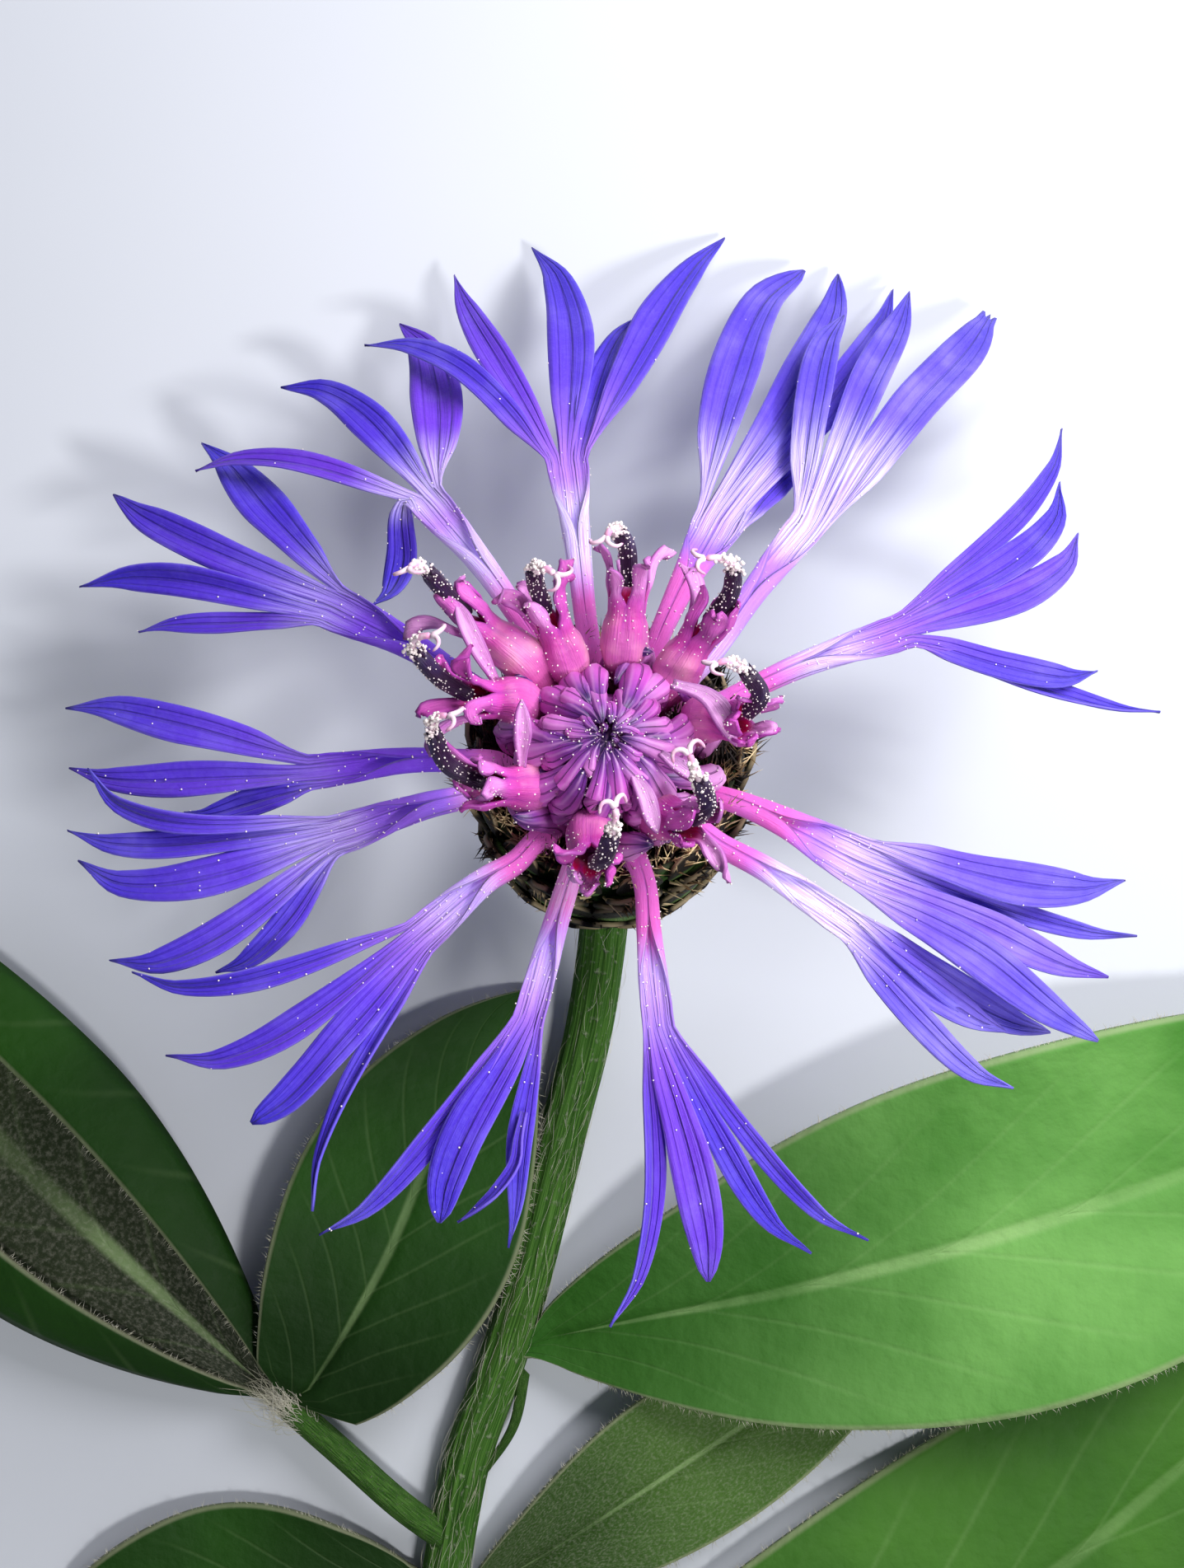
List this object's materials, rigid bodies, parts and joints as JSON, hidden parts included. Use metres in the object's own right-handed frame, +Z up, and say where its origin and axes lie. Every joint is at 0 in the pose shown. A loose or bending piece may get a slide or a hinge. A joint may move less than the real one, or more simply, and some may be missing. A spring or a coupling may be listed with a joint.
{
  "type": "mountain cornflower",
  "caption": "Picked mountain cornflower lying on a surface: open blue-violet fringed flower head on a bent neck, ribbed stem, side shoot and lance-shaped leaves.",
  "frame": {"origin": "middle of the plant's footprint, on the surface that it lies on", "axes": "+Y from the cut end of the stem towards the flower head, +X towards the large leaves on the right, +Z up, the way the open flower looks"},
  "size_m": [0.1374, 0.1504, 0.0391],
  "materials": {
    "ray_floret": "matt violet-blue petal, pink-magenta towards the root",
    "disc_floret": "matt magenta-pink floret",
    "closed_bud": "matt purple bud",
    "anther": "dark aubergine, faint sheen",
    "pollen": "white pollen, powdery",
    "involucre": "green scales with dark brown fringed edges",
    "stem": "ribbed green stem with white down",
    "leaf": "green leaf with pale midrib and soft hairs"
  },
  "bodies": {
    "root": {"ray_floret_1": "ray_floret", "ray_floret_2": "ray_floret", "ray_floret_3": "ray_floret", "ray_floret_4": "ray_floret", "ray_floret_5": "ray_floret", "ray_floret_6": "ray_floret", "ray_floret_7": "ray_floret", "ray_floret_8": "ray_floret", "ray_floret_9": "ray_floret", "ray_floret_10": "ray_floret", "ray_floret_11": "ray_floret", "ray_floret_12": "ray_floret", "ray_floret_13": "ray_floret", "disc_floret_1": "disc_floret", "disc_floret_2": "disc_floret", "disc_floret_3": "disc_floret", "disc_floret_4": "disc_floret", "disc_floret_5": "disc_floret", "disc_floret_6": "disc_floret", "disc_floret_7": "disc_floret", "disc_floret_8": "disc_floret", "disc_floret_9": "disc_floret", "anther_tube_1": "anther", "anther_tube_2": "anther", "anther_tube_3": "anther", "anther_tube_4": "anther", "anther_tube_5": "anther", "anther_tube_6": "anther", "anther_tube_7": "anther", "anther_tube_8": "anther", "anther_tube_9": "anther", "style_tip_1": "pollen", "style_tip_2": "pollen", "style_tip_3": "pollen", "style_tip_4": "pollen", "style_tip_5": "pollen", "style_tip_6": "pollen", "style_tip_7": "pollen", "style_tip_8": "pollen", "style_tip_9": "pollen", "closed_buds": "closed_bud", "involucre": "involucre", "stem": "stem", "leaf_right_upper": "leaf", "leaf_right_middle": "leaf", "leaf_right_lower": "leaf", "leaf_left_lower": "leaf", "shoot_leaf_broad": "leaf", "shoot_leaf_rolled": "leaf"}
  },
  "joints": []
}
